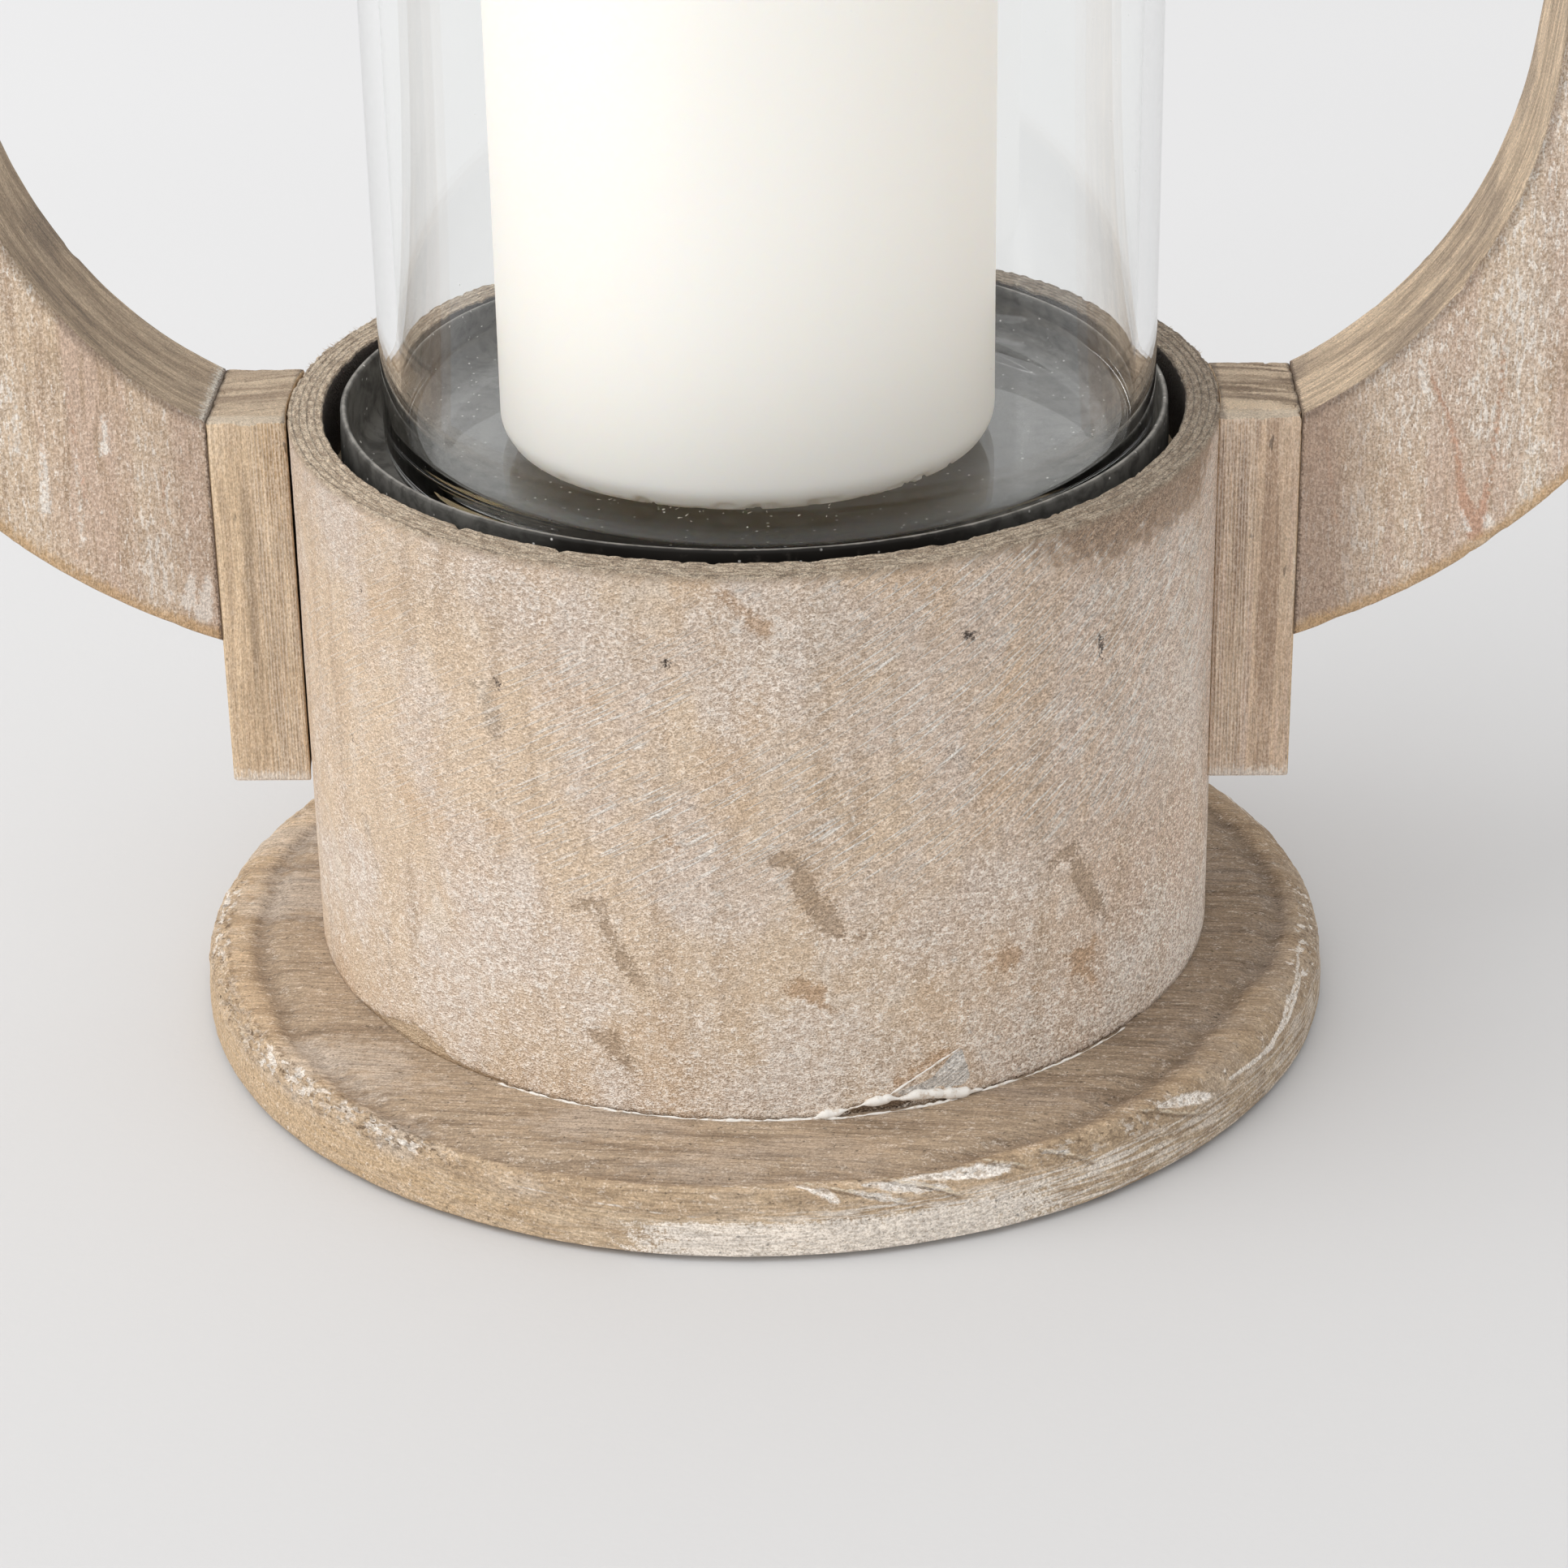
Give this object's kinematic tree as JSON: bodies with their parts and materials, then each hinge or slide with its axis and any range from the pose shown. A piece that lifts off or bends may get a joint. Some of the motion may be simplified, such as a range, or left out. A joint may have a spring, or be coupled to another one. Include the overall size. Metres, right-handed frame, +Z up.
{
  "type": "hurricane candle holder",
  "caption": "Free-standing hurricane candle holder: a whitewashed wooden drum on a round foot, held in a tall rounded wooden hoop, with a metal pan, a glass cylinder and a pillar candle.",
  "frame": {"origin": "on the table, under the middle of the round foot", "axes": "+Z up the candle; X runs across the hoop from one side to the other; -Y is the front"},
  "size_m": [0.3108, 0.177, 0.453],
  "materials": {
    "drum_veneer": "whitewashed bent plywood, vertical grain, sanded and rubbed",
    "foot_wood": "whitewashed board, turned, with torn end grain on the bead",
    "hoop_wood": "whitewashed board, vertical grain, raw along the sawn edges",
    "block_wood": "whitewashed stick, fine straight grain, grey end grain",
    "inner_wood": "raw plywood, unfinished",
    "dowel_wood": "raw beech",
    "pan_metal": "dark gunmetal, satin, dusty",
    "clear_glass": "clear, faintly green in the thick floor",
    "candle_wax": "ivory wax, soft satin",
    "wick_cotton": "braided cotton, waxed",
    "felt": "pressed felt",
    "fixing_steel": "zinc plated"
  },
  "bodies": {
    "stand": {"foot_plate": "foot_wood", "foot_screws": "fixing_steel", "felt_pads": "felt", "drum_wall": "drum_veneer", "pan_shelf": "inner_wood", "drum_floor": "inner_wood", "shelf_brads": "fixing_steel", "block_screws_left": "fixing_steel", "block_screws_right": "fixing_steel", "side_block_left": "block_wood", "side_block_right": "block_wood", "hoop_side_left": "hoop_wood", "hoop_side_right": "hoop_wood", "block_dowels_left": "dowel_wood", "block_dowels_right": "dowel_wood", "rail_dowels_left": "dowel_wood", "rail_dowels_right": "dowel_wood", "top_rail": "hoop_wood"},
    "pan": {"drip_pan": "pan_metal"},
    "glass": {"glass_cylinder": "clear_glass"},
    "candle": {"candle_wax": "candle_wax", "candle_wick": "wick_cotton"}
  },
  "joints": [
    {"name": "pan_lift", "type": "slide", "parent": "stand", "child": "pan", "axis": [0, 0, 1], "range_m": [0, 0.015]},
    {"name": "glass_lift", "type": "slide", "parent": "pan", "child": "glass", "axis": [0, 0, 1], "range_m": [0, 0.06]},
    {"name": "candle_lift", "type": "slide", "parent": "glass", "child": "candle", "axis": [0, 0, 1], "range_m": [0, 0.085]}
  ]
}
